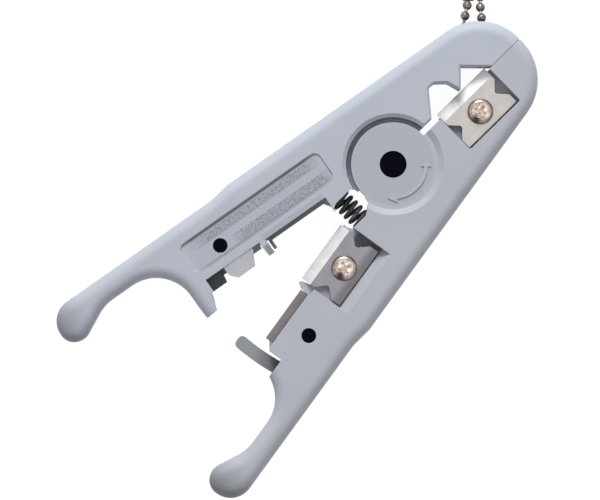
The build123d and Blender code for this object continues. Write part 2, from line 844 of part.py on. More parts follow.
    # The tongue, a flat bar bent round the pivot
    with BuildSketch(right_handle):
        Circle(foot_radius)
        Circle(tongue_inner_radius, mode=Mode.SUBTRACT)
        tongue_reach = tongue_root_across + tongue_overlap - tongue_tip_across
        with Locations((tongue_tip_across + tongue_reach / 2, -foot_radius)):
            Rectangle(tongue_reach, wide_reach, mode=Mode.INTERSECT)
    extrude(amount=tongue_top)
    tongue_tip = on_handle(1, tongue_tip_across, (foot_radius + tongue_inner_radius) / 2)
    tip_face = blade_arm.faces().sort_by_distance((*tongue_tip, tongue_top / 2))[0]
    fillet(tip_face.edges().filter_by(Axis.Z), tongue_tip_radius)

# Pivot pin: a flush head, a shank through both discs and a groove for the clip
groove_bottom = clip_pocket_depth - clip_washer_thickness - clip_thickness - 2 * washer_gap
with BuildPart() as pivot_pin:
    with BuildSketch():
        Circle(pin_radius)
    extrude(amount=disc_top - pin_head_recess)
    with BuildSketch(Plane.XY.offset(disc_top - pin_head_recess - pin_head_height)):
        Circle(pin_head_radius)
    extrude(amount=pin_head_height)
    chamfer(pivot_pin.faces().sort_by(Axis.Z)[-1].edges(), pin_chamfer)
    with BuildSketch(Plane.XY.offset(groove_bottom)):
        Circle(pin_radius)
        Circle(pin_radius - clip_groove_depth, mode=Mode.SUBTRACT)
    extrude(amount=clip_thickness + washer_gap, mode=Mode.SUBTRACT)

with BuildPart() as hub_washer:
    with BuildSketch(Plane.XY.offset(lower_disc_top + washer_gap)):
        Circle(washer_radius)
        Circle(pin_radius + pin_clearance, mode=Mode.SUBTRACT)
    extrude(amount=washer_thickness)

with BuildPart() as clip_washer:
    with BuildSketch(Plane.XY.offset(clip_pocket_depth - clip_washer_thickness - washer_gap / 2)):
        Circle(clip_pocket_radius - 2 * pin_clearance)
        Circle(pin_radius + pin_clearance, mode=Mode.SUBTRACT)
    extrude(amount=clip_washer_thickness)

# Open spring clip in the groove of the pivot pin
with BuildPart() as pivot_clip:
    with BuildSketch(Plane.XY.offset(groove_bottom + washer_gap / 2)):
        clip_inner_radius = pin_radius - clip_groove_depth + pin_clearance
        Circle(clip_inner_radius + clip_ring_width)
        Circle(clip_inner_radius, mode=Mode.SUBTRACT)
        with BuildLine():
            half_mouth = radians(clip_mouth_angle / 2)
            mouth_reach = 2 * clip_pocket_radius
            Polyline(
                (0, 0),
                (mouth_reach * sin(-half_mouth), -mouth_reach * cos(half_mouth)),
                (mouth_reach * sin(half_mouth), -mouth_reach * cos(half_mouth)),
                close=True,
            )
        make_face(mode=Mode.SUBTRACT)
    extrude(amount=clip_thickness)

# Coil spring between its two seats
with BuildPart() as return_spring:
    coil_radius = spring_outer_radius - spring_wire / 2
    coil_start = spring_left - spring_seat_depth + spring_end_gap + spring_wire / 2
    coil_length = spring_right + spring_seat_depth - spring_end_gap - spring_wire / 2 - coil_start
    with BuildLine() as coil:
        Helix(
            pitch=coil_length / spring_turns,
            height=coil_length,
            radius=coil_radius,
            center=(coil_start, spring_y, thickness / 2),
            direction=(1, 0, 0),
        )
    with BuildSketch(Plane(origin=coil.line @ 0, z_dir=coil.line % 0)):
        Circle(spring_wire / 2)
    sweep(is_frenet=True)

# Blades and what clamps them
head_blade_plane = Plane(origin=(*head_blade_at, blade_floor), x_dir=(1, 0, 0), z_dir=(0, 0, 1))
handle_blade_plane = Plane(
    origin=(*handle_blade_at, blade_floor), x_dir=right_handle.x_dir, z_dir=(0, 0, 1)
)
with BuildPart() as head_blade:
    add(blade(head_blade_plane))
with BuildPart() as handle_blade:
    add(blade(handle_blade_plane))
with BuildPart() as head_blade_screw:
    add(clamp_screw(head_blade_at))
with BuildPart() as handle_blade_screw:
    add(clamp_screw(handle_blade_at))
with BuildPart() as head_blade_nut:
    add(clamp_nut(head_blade_at))
with BuildPart() as handle_blade_nut:
    add(clamp_nut(handle_blade_at))

# Cutters: the upper one slides over the lower one as the handles close
with BuildPart() as upper_cutter:
    with BuildSketch(left_handle.offset(upper_cutter_bottom)) as upper_plan:
        with BuildLine():
            Polyline(
                (-cutter_root_across, -upper_cutter_start),
                (-notched_cutter_face + upper_cutter_step, -upper_cutter_start),
                (-upper_cutter_tip, -upper_cutter_start - upper_cutter_slope),
                (-upper_cutter_tip, -upper_cutter_end + upper_cutter_end_slope),
                (-notched_cutter_face + upper_cutter_end_step, -upper_cutter_end),
                (-cutter_root_across, -upper_cutter_end),
                close=True,
            )
        make_face()
        with Locations((-cutter_pin_across, -cutter_pin_along)):
            Circle(cutter_pin_radius + cutter_pin_fit, mode=Mode.SUBTRACT)
    extrude(amount=cutter_thickness)
with BuildPart() as lower_cutter:
    with BuildSketch(right_handle.offset(lower_cutter_bottom)):
        with BuildLine():
            Polyline(
                (lower_cutter_edge, -lower_cutter_start),
                (cutter_root_across, -lower_cutter_start),
                (cutter_root_across, -lower_cutter_end),
                (lower_cutter_edge, -lower_cutter_end),
                close=True,
            )
        make_face()
        with Locations((cutter_pin_across, -cutter_pin_along)):
            Circle(cutter_pin_radius + cutter_pin_fit, mode=Mode.SUBTRACT)
    extrude(amount=cutter_thickness)
with BuildPart() as upper_cutter_pin:
    add(cutter_pin(left_cutter_pin_at))
with BuildPart() as lower_cutter_pin:
    add(cutter_pin(right_cutter_pin_at))

# Lanyard pin and the bead chain round it
with BuildPart() as lanyard_pin:
    with BuildSketch(Plane(origin=(*lanyard_pin_at, lanyard_pin_inset))):
        Circle(lanyard_pin_radius)
    extrude(amount=lanyard_pin_top - lanyard_pin_inset - lanyard_pin_end_gap)


def on_chain(outward, aside, level):
    """A point of the row frame from its place along and beside the chain's own line."""
    x = lanyard_pin_at[0] + outward * chain_axis[0] - aside * chain_axis[1]
    y = lanyard_pin_at[1] + outward * chain_axis[1] + aside * chain_axis[0]
    return (x, y, level)


with BuildLine() as chain_route:
    Spline(
        on_chain(-chain_bend, 0, chain_level),
        on_chain(0, chain_bend, chain_level),
        on_chain(chain_straight, chain_bend, chain_level),
        on_chain(chain_fall, chain_spread + chain_widening, chain_middle_level),
        on_chain(chain_landing, chain_spread, chain_rest + chain_last_drop),
        on_chain(chain_reach - chain_end_round, chain_spread, chain_rest),
        on_chain(chain_reach, 0, chain_rest),
        on_chain(chain_reach - chain_end_round, -chain_spread, chain_rest),
        on_chain(chain_landing, -chain_spread, chain_rest + chain_last_drop),
        on_chain(chain_fall, -chain_spread - chain_widening, chain_middle_level),
        on_chain(chain_straight, -chain_bend, chain_level),
        on_chain(0, -chain_bend, chain_level),
        periodic=True,
    )
beads = [chain_route.line @ ((bead + 0.5) / bead_count) for bead in range(bead_count)]
with BuildPart() as bead_chain:
    for first, second in zip(beads, beads[1:] + beads[:1]):
        with Locations(first):
            Sphere(bead_radius)
        with BuildSketch(Plane(origin=first, z_dir=second - first)):
            Circle(link_radius)
        extrude(amount=(second - first).length)

# Open sleeve that joins the two ends of the chain
sleeve_from, sleeve_to = beads[4], beads[5]
with BuildPart() as chain_connector:
    sleeve_line = sleeve_to - sleeve_from
    sleeve_start = sleeve_from - sleeve_line.normalized() * sleeve_overhang
    with BuildSketch(Plane(origin=sleeve_start, z_dir=sleeve_line)):
        Circle(sleeve_radius)
        Circle(sleeve_radius - sleeve_wall, mode=Mode.SUBTRACT)
    extrude(amount=sleeve_line.length + 2 * sleeve_overhang)

os.makedirs("parts", exist_ok=True)
notched_arm.part.label = "notched_arm"
export_step(notched_arm.part, "parts/notched_arm.step")
blade_arm.part.label = "blade_arm"
export_step(blade_arm.part, "parts/blade_arm.step")
pivot_pin.part.label = "pivot_pin"
export_step(pivot_pin.part, "parts/pivot_pin.step")
hub_washer.part.label = "hub_washer"
export_step(hub_washer.part, "parts/hub_washer.step")
clip_washer.part.label = "clip_washer"
export_step(clip_washer.part, "parts/clip_washer.step")
pivot_clip.part.label = "pivot_clip"
export_step(pivot_clip.part, "parts/pivot_clip.step")
return_spring.part.label = "return_spring"
export_step(return_spring.part, "parts/return_spring.step")
head_blade.part.label = "head_blade"
export_step(head_blade.part, "parts/head_blade.step")
handle_blade.part.label = "handle_blade"
export_step(handle_blade.part, "parts/handle_blade.step")
head_blade_screw.part.label = "head_blade_screw"
export_step(head_blade_screw.part, "parts/head_blade_screw.step")
handle_blade_screw.part.label = "handle_blade_screw"
export_step(handle_blade_screw.part, "parts/handle_blade_screw.step")
head_blade_nut.part.label = "head_blade_nut"
export_step(head_blade_nut.part, "parts/head_blade_nut.step")
handle_blade_nut.part.label = "handle_blade_nut"
export_step(handle_blade_nut.part, "parts/handle_blade_nut.step")
upper_cutter.part.label = "upper_cutter"
export_step(upper_cutter.part, "parts/upper_cutter.step")
lower_cutter.part.label = "lower_cutter"
export_step(lower_cutter.part, "parts/lower_cutter.step")
upper_cutter_pin.part.label = "upper_cutter_pin"
export_step(upper_cutter_pin.part, "parts/upper_cutter_pin.step")
lower_cutter_pin.part.label = "lower_cutter_pin"
export_step(lower_cutter_pin.part, "parts/lower_cutter_pin.step")
lanyard_pin.part.label = "lanyard_pin"
export_step(lanyard_pin.part, "parts/lanyard_pin.step")
bead_chain.part.label = "bead_chain"
export_step(bead_chain.part, "parts/bead_chain.step")
chain_connector.part.label = "chain_connector"
export_step(chain_connector.part, "parts/chain_connector.step")
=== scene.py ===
"""Cable stripper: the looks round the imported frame, laid out as a Blender add-on and run as a script."""

import json
from collections import namedtuple
from math import cos, pi, radians, sin

import bpy
from mathutils import Matrix, Vector


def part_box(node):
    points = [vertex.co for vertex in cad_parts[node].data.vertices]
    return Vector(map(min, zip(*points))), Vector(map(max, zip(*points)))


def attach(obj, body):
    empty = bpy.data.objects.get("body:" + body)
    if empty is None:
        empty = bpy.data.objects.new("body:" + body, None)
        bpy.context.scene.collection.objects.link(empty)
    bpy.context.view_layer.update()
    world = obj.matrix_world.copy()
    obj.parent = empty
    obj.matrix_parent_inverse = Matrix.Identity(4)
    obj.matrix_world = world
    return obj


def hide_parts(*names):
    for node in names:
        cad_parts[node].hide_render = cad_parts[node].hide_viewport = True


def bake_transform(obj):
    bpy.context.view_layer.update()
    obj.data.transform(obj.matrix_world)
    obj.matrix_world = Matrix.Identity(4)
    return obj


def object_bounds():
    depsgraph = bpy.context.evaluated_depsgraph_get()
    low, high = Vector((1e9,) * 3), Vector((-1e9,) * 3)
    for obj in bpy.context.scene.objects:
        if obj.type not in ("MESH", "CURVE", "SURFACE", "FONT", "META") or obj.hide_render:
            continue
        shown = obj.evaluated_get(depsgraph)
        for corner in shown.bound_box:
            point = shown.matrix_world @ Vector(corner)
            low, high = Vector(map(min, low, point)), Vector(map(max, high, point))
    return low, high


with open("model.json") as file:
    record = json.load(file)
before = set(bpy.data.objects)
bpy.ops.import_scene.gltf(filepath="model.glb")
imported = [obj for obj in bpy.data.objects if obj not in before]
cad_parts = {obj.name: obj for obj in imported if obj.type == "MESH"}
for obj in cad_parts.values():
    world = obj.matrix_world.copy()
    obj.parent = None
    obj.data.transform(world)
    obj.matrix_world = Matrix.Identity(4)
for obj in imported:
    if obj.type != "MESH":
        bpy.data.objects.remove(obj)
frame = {"nodes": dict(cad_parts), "record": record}
cad_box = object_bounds()

bl_info = {
    "name": "Cable stripper looks",
    "version": (1, 0, 0),
    "blender": (4, 5, 0),
    "location": "3D View > Sidebar > Stripper",
    "description": "Models the fine pieces of a hand cable stripper and gives each part its finish",
    "category": "Object",
}

# A millimetre in metres, the distance within which points merge, the one within which two places count as
# the same, the usual broken edge, the tilt of both handles, the angle past which an edge is sharp, and the
# least share of a normal along an axis for a face that looks that way
MM = 0.001
WELD = 0.001 * MM
SAME = 0.01 * MM
EDGE_BREAK = 0.05 * MM
HANDLE_TILT = radians(9.5)
SHARP = radians(40)
FACING = 0.9


def slot_colour(slot):
    """The base colour that the record gives a material slot."""
    return next(m["base_color"] for m in frame["record"]["materials"] if m["slot"] == slot)


# Settings a user would change


class PlasticSettings(bpy.types.PropertyGroup):
    colour: bpy.props.FloatVectorProperty(
        name="Notched arm colour",
        description="Base colour of the plain arm",
        subtype="COLOR",
        min=0,
        max=1,
        default=(0.445, 0.475, 0.540),
    )
    second_colour: bpy.props.FloatVectorProperty(
        name="Blade arm colour",
        description="Base colour of the arm that carries the blades",
        subtype="COLOR",
        min=0,
        max=1,
        default=(0.435, 0.448, 0.500),
    )
    roughness: bpy.props.FloatProperty(
        name="Roughness", description="Middle roughness of the moulded face", default=0.5, min=0, max=1
    )
    grain: bpy.props.FloatProperty(
        name="Grain size",
        description="Size of the fine texture that the mould leaves",
        default=0.35 * MM,
        unit="LENGTH",
    )


class BladeSettings(bpy.types.PropertyGroup):
    bevel_width: bpy.props.FloatProperty(
        name="Bevel width", description="Width of the ground bevel", default=2.5 * MM, unit="LENGTH"
    )
    edge_width: bpy.props.FloatProperty(
        name="Edge width", description="Width of the finely ground edge", default=0.8 * MM, unit="LENGTH"
    )
    notch_width: bpy.props.FloatProperty(
        name="Notch width", description="Width of the notch in each short end", default=5 * MM, unit="LENGTH"
    )
    notch_depth: bpy.props.FloatProperty(
        name="Notch depth",
        description="Depth of the notch in each short end",
        default=2.4 * MM,
        unit="LENGTH",
    )
    break_width: bpy.props.FloatProperty(
        name="Edge break", description="Width of the broken edges", default=EDGE_BREAK, unit="LENGTH"
    )
    notch_round: bpy.props.FloatProperty(
        name="Notch round",
        description="Size of the round at the bottom of a notch",
        default=0.7 * MM,
        unit="LENGTH",
    )


class ScrewSettings(bpy.types.PropertyGroup):
    dome: bpy.props.FloatProperty(
        name="Dome", description="Radius of the head's rounded rim", default=1.1 * MM, unit="LENGTH"
    )
    cross_length: bpy.props.FloatProperty(
        name="Cross length", description="Length of the cross recess", default=4.2 * MM, unit="LENGTH"
    )
    cross_width: bpy.props.FloatProperty(
        name="Cross width", description="Width of the cross recess", default=1.0 * MM, unit="LENGTH"
    )
    cross_depth: bpy.props.FloatProperty(
        name="Cross depth", description="Depth of the cross recess", default=1.0 * MM, unit="LENGTH"
    )


class SpringSettings(bpy.types.PropertyGroup):
    wire: bpy.props.FloatProperty(
        name="Wire", description="Thickness of the spring wire", default=0.9 * MM, unit="LENGTH"
    )
    turns: bpy.props.IntProperty(name="Turns", description="Number of turns of the spring", default=6, min=2)


class SteelSettings(bpy.types.PropertyGroup):
    # Both blades are the same ground steel: the handle blade's darker colour is a painted darker reflection
    blade_colour: bpy.props.FloatVectorProperty(
        name="Head blade colour",
        description="Base colour of the blade in the jaw",
        subtype="COLOR",
        min=0,
        max=1,
        default=(0.405, 0.378, 0.366),
    )
    handle_blade_colour: bpy.props.FloatVectorProperty(
        name="Handle blade colour",
        description="Base colour of the blade in the handle",
        subtype="COLOR",
        min=0,
        max=1,
        default=(0.225, 0.218, 0.238),
    )
    bevel_colour: bpy.props.FloatVectorProperty(
        name="Bevel colour",
        description="Base colour of the freshly ground bevels",
        subtype="COLOR",
        min=0,
        max=1,
        default=(0.56, 0.56, 0.57),
    )
    tab_colour: bpy.props.FloatVectorProperty(
        name="Upper cutter colour",
        description="Base colour of the lighter cutter",
        subtype="COLOR",
        min=0,
        max=1,
        default=(0.33, 0.335, 0.37),
    )
    cutter_colour: bpy.props.FloatVectorProperty(
        name="Cutter colour",
        description="Base colour of the hardened cutters",
        subtype="COLOR",
        min=0,
        max=1,
        default=(0.165, 0.148, 0.158),
    )
    screw_colour: bpy.props.FloatVectorProperty(
        name="Screw colour",
        description="Base colour of the clamp screws' plating",
        subtype="COLOR",
        min=0,
        max=1,
        default=(0.86, 0.71, 0.62),
    )
    # The cross recess's colour, lighter than the plating, is painted light that lifts the shade in the recess
    recess_painted_light_colour: bpy.props.FloatVectorProperty(
        name="Screw recess colour",
        description="Base colour of the worn plating inside the cross recess",
        subtype="COLOR",
        min=0,
        max=1,
        default=(0.80, 0.70, 0.64),
    )
    black_colour: bpy.props.FloatVectorProperty(
        name="Black oxide colour",
        description="Base colour of the pins and the clip",
        subtype="COLOR",
        min=0,
        max=1,
        default=(0.0015, 0.0015, 0.004),
    )


class StageSettings(bpy.types.PropertyGroup):
    camera_height: bpy.props.FloatProperty(
        name="Camera height", description="Height of the camera above the floor", default=1.2, unit="LENGTH"
    )
    view_width: bpy.props.FloatProperty(
        name="View width",
        description="Width of the picture at the tool's upper face",
        default=139.85 * MM,
        unit="LENGTH",
    )
    view_centre: bpy.props.FloatVectorProperty(
        name="View centre",
        description="Point of the tool that the picture is centred on",
        size=2,
        default=(-0.95 * MM, -29.51 * MM),
        subtype="TRANSLATION",
    )
    view_turn: bpy.props.FloatProperty(
        name="View turn",
        description="Turn of the camera about the line of sight",
        default=radians(45.52),
        subtype="ANGLE",
    )
    key_power: bpy.props.FloatProperty(
        name="Key light", description="Power of the large soft light", default=20.0, unit="POWER"
    )
    fill_power: bpy.props.FloatProperty(
        name="Fill light", description="Power of the light above the tool", default=1.6, unit="POWER"
    )
    world_level: bpy.props.FloatProperty(
        name="World level", description="Strength of the light from all round", default=0.42, min=0
    )


class StripperSettings(bpy.types.PropertyGroup):
    plastic: bpy.props.PointerProperty(type=PlasticSettings)
    blade: bpy.props.PointerProperty(type=BladeSettings)
    screw: bpy.props.PointerProperty(type=ScrewSettings)
    spring: bpy.props.PointerProperty(type=SpringSettings)
    steel: bpy.props.PointerProperty(type=SteelSettings)
    stage: bpy.props.PointerProperty(type=StageSettings)


# Shading helpers


class Nodes:
    """A node tree, built a node at a time."""

    def __init__(self, tree):
        self.tree = tree

    def node(self, kind, **values):
        """A new node with these settings; a key with a capital is an input's name."""
        made = self.tree.nodes.new(kind)
        for key, value in values.items():
            if key[0].isupper():
                made.inputs[key.replace("_", " ")].default_value = value
            else:
                setattr(made, key, value)
        return made

    def join(self, output, socket):
        self.tree.links.new(output, socket)

    def spread(self, value, low, high, start=0.3, end=0.7):
        """A value moved from start..end to low..high."""
        made = self.node("ShaderNodeMapRange", From_Min=start, From_Max=end, To_Min=low, To_Max=high)
        self.join(value, made.inputs["Value"])
        return made.outputs["Result"]

    def maths(self, operation, *values):
        """A Math node of outputs and plain numbers."""
        made = self.node("ShaderNodeMath", operation=operation)
        for socket, value in zip(made.inputs, values):
            if isinstance(value, (int, float)):
                socket.default_value = value
            else:
                self.join(value, socket)
        return made.outputs[0]

    def sees_white(self):
        """1 for camera, mirrored and passing rays, which see plain white; 0 for the rays that light."""
        rays = self.node("ShaderNodeLightPath").outputs
        seen = self.maths("MAXIMUM", rays["Is Camera Ray"], rays["Is Glossy Ray"])
        return self.maths("MAXIMUM", seen, rays["Is Transmission Ray"])


class Shader(Nodes):
    """One material's node tree."""

    def __init__(self, name):
        self.material = bpy.data.materials.new(name)
        self.material.use_nodes = True
        super().__init__(self.material.node_tree)
        self.bsdf = self.tree.nodes["Principled BSDF"]
        self.object_space = self.node("ShaderNodeTexCoord").outputs["Object"]

    def placed(self, scale=(1, 1, 1), turn=0, centre=(0, 0, 0)):
        """Object coordinates about a centre, turned about Z and scaled."""
        mapping = self.node("ShaderNodeMapping", vector_type="TEXTURE")
        mapping.inputs["Location"].default_value = centre
        mapping.inputs["Rotation"].default_value = (0, 0, turn)
        mapping.inputs["Scale"].default_value = [1 / s for s in scale]
        self.join(self.object_space, mapping.inputs["Vector"])
        return mapping.outputs["Vector"]

    def noise(self, vector, scale, detail=2.0, roughness=0.5):
        made = self.node("ShaderNodeTexNoise", Scale=scale, Detail=detail, Roughness=roughness)
        self.join(vector, made.inputs["Vector"])
        return made.outputs["Fac"]

    def tint(self, value, dark, light):
        """A colour between two, by a value. Each is a colour or another node's output."""
        made = self.node("ShaderNodeMix", data_type="RGBA")
        for key, colour in (("A", dark), ("B", light)):
            socket = next(i for i in made.inputs if i.name == key and i.type == "RGBA")
            if isinstance(colour, bpy.types.NodeSocket):
                self.join(colour, socket)
            else:
                socket.default_value = (*colour, 1)
        self.join(value, made.inputs["Factor"])
        return next(out for out in made.outputs if out.type == "RGBA")

    def inside(self, zone):
        """1 inside a zone, 0 outside it, with its soft border."""
        size = self.node("ShaderNodeVectorMath", operation="ABSOLUTE")
        self.join(self.placed([1 / side for side in zone.half], zone.turn, zone.centre), size.inputs[0])
        parts = self.node("ShaderNodeSeparateXYZ")
        self.join(size.outputs[0], parts.inputs[0])
        flat = self.maths("MAXIMUM", parts.outputs[0], parts.outputs[1])
        return self.spread(self.maths("MAXIMUM", flat, parts.outputs[2]), 1, 0, 1 - zone.soft, 1 + zone.soft)

    def near(self, axis, full, none):
        """1 up to one distance from an upright axis, 0 past another."""
        flat = self.node("ShaderNodeVectorMath", operation="MULTIPLY")
        self.join(self.placed(centre=(*axis, 0)), flat.inputs[0])
        flat.inputs[1].default_value = (1, 1, 0)
        length = self.node("ShaderNodeVectorMath", operation="LENGTH")
        self.join(flat.outputs[0], length.inputs[0])
        return self.spread(length.outputs["Value"], 1, 0, full, none)

    def bump(self, height, strength, distance, below=None):
        made = self.node("ShaderNodeBump", Strength=strength, Distance=distance)
        self.join(height, made.inputs["Height"])
        if below is not None:
            self.join(below, made.inputs["Normal"])
        return made.outputs["Normal"]

    def finish(self, colour, rough, normal, **values):
        """Joins the three outputs to the surface, sets its other inputs and gives the material."""
        self.join(colour, self.bsdf.inputs["Base Color"])
        self.join(rough, self.bsdf.inputs["Roughness"])
        self.join(normal, self.bsdf.inputs["Normal"])
        for key, value in values.items():
            self.bsdf.inputs[key.replace("_", " ")].default_value = value
        return self.material


def shaded(colour, factor):
    """A colour made darker or lighter by a factor."""
    return tuple(min(1, c * factor) for c in colour)


def on_handle(side, across, along, level=0.0):
    """A point from its place on the left (-1) or right (+1) handle."""
    x = across * cos(HANDLE_TILT) + along * sin(HANDLE_TILT)
    y = across * sin(HANDLE_TILT) - along * cos(HANDLE_TILT)
    return (side * x, y, level)


# A box in which a material differs: its centre and half sizes, its turn about Z and the share of its
# half sizes over which its border fades
Zone = namedtuple("Zone", "centre half turn soft")


def zone_at(place, half, soft, turn=0.0):
    """A zone from millimetres."""
    return Zone([side * MM for side in place], [side * MM for side in half], turn, soft)


def zone_on(side, place, half, soft):
    """A zone that lies along the left (-1) or right (+1) handle, from millimetres across, along and up."""
    centre = on_handle(side, *(part * MM for part in place))
    return Zone(centre, [part * MM for part in half], side * HANDLE_TILT, soft)


def finger_end_shade(side):
    """The zone of painted shade that fades in over the end of a handle."""
    return zone_on(side, (12.5, 86, 6), (12, 4.2, 12), 0.9)


# Round the hub: in the gap round the upper hub disc a lighter tone, painted light over the gap's shade,
# and on that disc a slightly darker tone: a zone, the distances from the pivot at which the tone starts to
# fade and is gone, and the tone
HUB_TONES = (
    (zone_at((0, 0, 7.4), (20, 20, 3.5), 0.02), 10.6 * MM, 10.9 * MM, 1.7),
    (zone_at((0, 0, 11), (20, 20, 0.1), 0.05), 9.4 * MM, 9.8 * MM, 0.93),
)

# The two worn bands on the bed of the label recess
LABEL_BANDS = (
    zone_on(-1, (11.0, 31.5, 11.6), (1.1, 16.0, 0.2), 0.15),
    zone_on(-1, (6.8, 26.5, 11.6), (1.25, 12.6, 0.2), 0.15),
)

# Zones of the plain arm and their tones: painted shade on the block between the cutter and the foot, on the
# anvil along the inner edge and on the comb's tooth, a slightly darker tone on the label recess's bed, and
# painted shade along its outer and inner borders and over the finger end
PLAIN_ARM_TONES = (
    (zone_at((-9.4, -48.6, 5), (2.9, 2.9, 6), 0.12, turn=-HANDLE_TILT), 0.27),
    (zone_on(-1, (2.6, 26.3, 6), (1.3, 7.9, 5.7), 0.12), 0.5),
    (zone_on(-1, (0.2, 34.7, 6), (1.3, 1.0, 7), 0.15), 0.5),
    (zone_on(-1, (8.95, 32.6, 11.4), (4.3, 18.6, 0.35), 0.02), 0.92),
    (zone_on(-1, (12.6, 32.6, 11.8), (0.45, 17.8, 0.4), 0.1), 0.5),
    (zone_on(-1, (5.3, 32.6, 11.8), (0.35, 17.8, 0.4), 0.1), 0.68),
    (finger_end_shade(-1), 0.5),
)

# Zones of the arm that carries the blades and their tones, all painted shade: on the tongue and its root, in
# the upper and lower corners of the handle's pocket, in the lower corner of the head's pocket, and over the
# finger end
BLADE_ARM_TONES = (
    (zone_at((7.6, -54.6, 6), (7, 2.4, 5), 0.12, turn=radians(6)), 0.64),
    (zone_at((13.2, -53, 5.4), (3, 4, 4), 0.5, turn=radians(30)), 0.42),
    (zone_on(1, (6.1, 19.3, 6), (3.4, 1.9, 5), 0.12), 0.32),
    (zone_on(1, (6.4, 33, 6), (3.2, 1.5, 5), 0.2), 0.8),
    (zone_at((6.2, 16.4, 6), (4.2, 1.7, 5), 0.12), 0.55),
    (finger_end_shade(1), 0.4),
)

# A painted lighter patch on the bevel beside the jaw's tooth, over the shade in its reflection, and painted
# shade along the handle blade's back edge
BEVEL_TONES = ((zone_at((0, 28.5, 6.5), (3, 5, 3), 0.5), 1.6),)
BACK_TONES = ((zone_on(1, (8.6, 26.3, 6), (1.2, 16, 12), 0.6), 0.62),)

# Round a screw's head: the distances at which its painted darker reflection round the rim starts and is
# full, and the place of a painted dark reflection spot from the head's middle and the distances at which it
# starts to fade and is gone
RIM_START, RIM_FULL = 0.9 * MM, 2.1 * MM
DARK_REFLECTION_X, DARK_REFLECTION_Y = 0.65 * MM, -1.95 * MM
DARK_REFLECTION_FULL, DARK_REFLECTION_NONE = 0.5 * MM, 1.5 * MM


def toned(shader, base, colour, tones):
    """A base colour with each zone in its own tone of the plain colour."""
    for zone, tone in tones:
        base = shader.tint(shader.inside(zone), base, shaded(colour, tone))
    return base


# The moulded plastic: the scale of its flow marks per metre and their tones, the depth of its grain, the
# size, tones and depth of the pits in its worn zones, and how much it shines
FLOW_SCALE = 55
FLOW_TONES = (0.965, 1.03)
GRAIN_DEPTH = 0.012 * MM
PIT_SIZE = 0.55 * MM
PIT_TONES = (0.5, 0.9)
PIT_DEPTH = 0.12 * MM
PLASTIC_SHINE = 0.28

# The metals: the scales per metre of the ground lines, of the mottling, of the plating's spots and
# scratches and of the oxide's wear, the tones of the mottling, of clean plating, of a screw's painted darker
# rim reflection and painted dark reflection spot and of the wear, the depths of the lines and scratches and
# of the wear, and how much the oxide shines
LINE_SCALES = (120, 9000, 400)
MOTTLE_SCALE = 350
SPOT_SCALE = 900
SCRATCH_SCALES = (9000, 700, 700)
WEAR_SCALE = 1200
MOTTLE_TONES = (0.92, 1.08)
CLEAN_TONE = 1.08
RIM_TONES = (0.2, 0.62)
DARK_REFLECTION_TONE = 0.06
WEAR_TONE = 3.5
LINE_DEPTH = 0.004 * MM
WEAR_DEPTH = 0.01 * MM
OXIDE_SHINE = 0.02


def moulded_plastic(name, colour, settings, worn=(), tones=()):
    """Satin plastic with mould grain and faint flow marks, pitted in worn zones."""
    shader = Shader(name)
    grain = shader.noise(shader.object_space, 1 / settings.grain, detail=3)
    flow = shader.noise(shader.object_space, FLOW_SCALE, detail=3, roughness=0.6)
    base = shader.tint(shader.spread(flow, 0, 1), *(shaded(colour, tone) for tone in FLOW_TONES))
    normal = shader.bump(grain, 0.25, GRAIN_DEPTH)
    # The listed zones in their tones: on the arms mostly painted shade
    base = toned(shader, base, colour, tones)
    # Painted light in the gap round the hub disc, and a slightly darker disc
    for zone, full, none, tone in HUB_TONES:
        around = shader.maths("MULTIPLY", shader.inside(zone), shader.near((0, 0), full, none))
        base = shader.tint(around, base, shaded(colour, tone))
    if worn:
        rubbed = shader.maths("MAXIMUM", *(shader.inside(zone) for zone in worn))
        pits = shader.noise(shader.object_space, 1 / PIT_SIZE, detail=5, roughness=0.7)
        pitted = shader.tint(
            shader.spread(pits, 0, 1, start=0.38, end=0.62), *(shaded(colour, tone) for tone in PIT_TONES)
        )
        base = shader.tint(rubbed, base, pitted)
        normal = shader.bump(shader.maths("MULTIPLY", pits, rubbed), 0.9, PIT_DEPTH, normal)
    rough = shader.spread(grain, settings.roughness - 0.05, settings.roughness + 0.06)
    return shader.finish(base, rough, normal, Specular_IOR_Level=PLASTIC_SHINE)


def ground_steel(name, colour, along, roughness=0.3, tones=()):
    """Ground steel with fine lines along one direction of the XY plane, given by its angle."""
    shader = Shader(name)
    lines = shader.noise(shader.placed(scale=LINE_SCALES, turn=along), 1, detail=4, roughness=0.7)
    mottle = shader.noise(shader.object_space, MOTTLE_SCALE, detail=4, roughness=0.6)
    base = shader.tint(shader.spread(mottle, 0, 1), *(shaded(colour, tone) for tone in MOTTLE_TONES))
    # The listed zones in their tones: painted light or painted shade
    base = toned(shader, base, colour, tones)
    rough = shader.spread(lines, roughness - 0.03, roughness + 0.06)
    return shader.finish(base, rough, shader.bump(lines, 0.2, LINE_DEPTH), Metallic=1)


